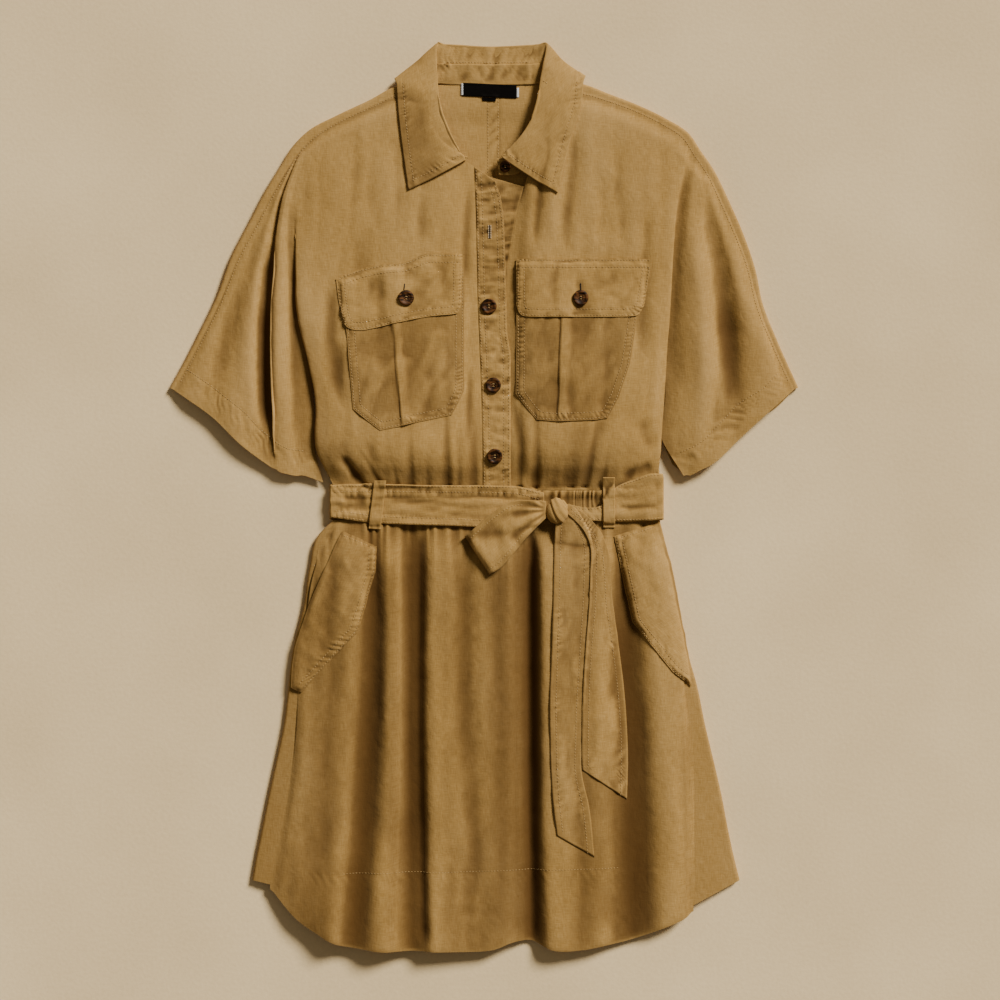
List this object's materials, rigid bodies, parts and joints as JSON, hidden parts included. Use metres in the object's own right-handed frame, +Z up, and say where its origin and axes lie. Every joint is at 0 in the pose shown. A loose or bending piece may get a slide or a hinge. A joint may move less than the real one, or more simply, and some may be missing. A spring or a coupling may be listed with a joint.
{
  "type": "shirt dress",
  "caption": "Short-sleeved linen shirt dress laid flat, with open collar, flapped chest pockets, gathered waist, tied sash and curved hem.",
  "frame": {"origin": "middle of the bounding box, on the surface the dress lies on", "axes": "+Y from the hem to the collar, +X to the viewer's right, +Z up from the surface; the dress lies on its back"},
  "size_m": [0.655, 0.9453, 0.0232],
  "materials": {
    "linen": "plain-woven linen, khaki, softly creased",
    "label": "black woven satin ribbon, bare",
    "horn": "mottled dark horn, satin polish"
  },
  "bodies": {
    "root": {"back_bodice_left": "linen", "back_bodice_right": "linen", "front_bodice_left": "linen", "front_bodice_right": "linen", "button_placket": "linen", "under_placket": "linen", "collar_leaf": "linen", "collar_stand": "linen", "chest_pocket_left": "linen", "chest_pocket_right": "linen", "chest_flap_left": "linen", "chest_flap_right": "linen", "waist_casing_front": "linen", "waist_casing_back": "linen", "skirt_front": "linen", "skirt_back": "linen", "hip_flap_left": "linen", "hip_flap_right": "linen", "belt_back": "linen", "belt_front_left": "linen", "belt_front_right": "linen", "belt_knot": "linen", "belt_bow_loop": "linen", "belt_tail_long": "linen", "belt_tail_short": "linen", "belt_carrier_left": "linen", "belt_carrier_right": "linen", "neck_label": "label", "size_tab": "label", "placket_button_1": "horn", "placket_button_2": "horn", "placket_button_3": "horn", "pocket_button_left": "horn", "pocket_button_right": "horn", "neck_button": "horn"}
  },
  "joints": []
}
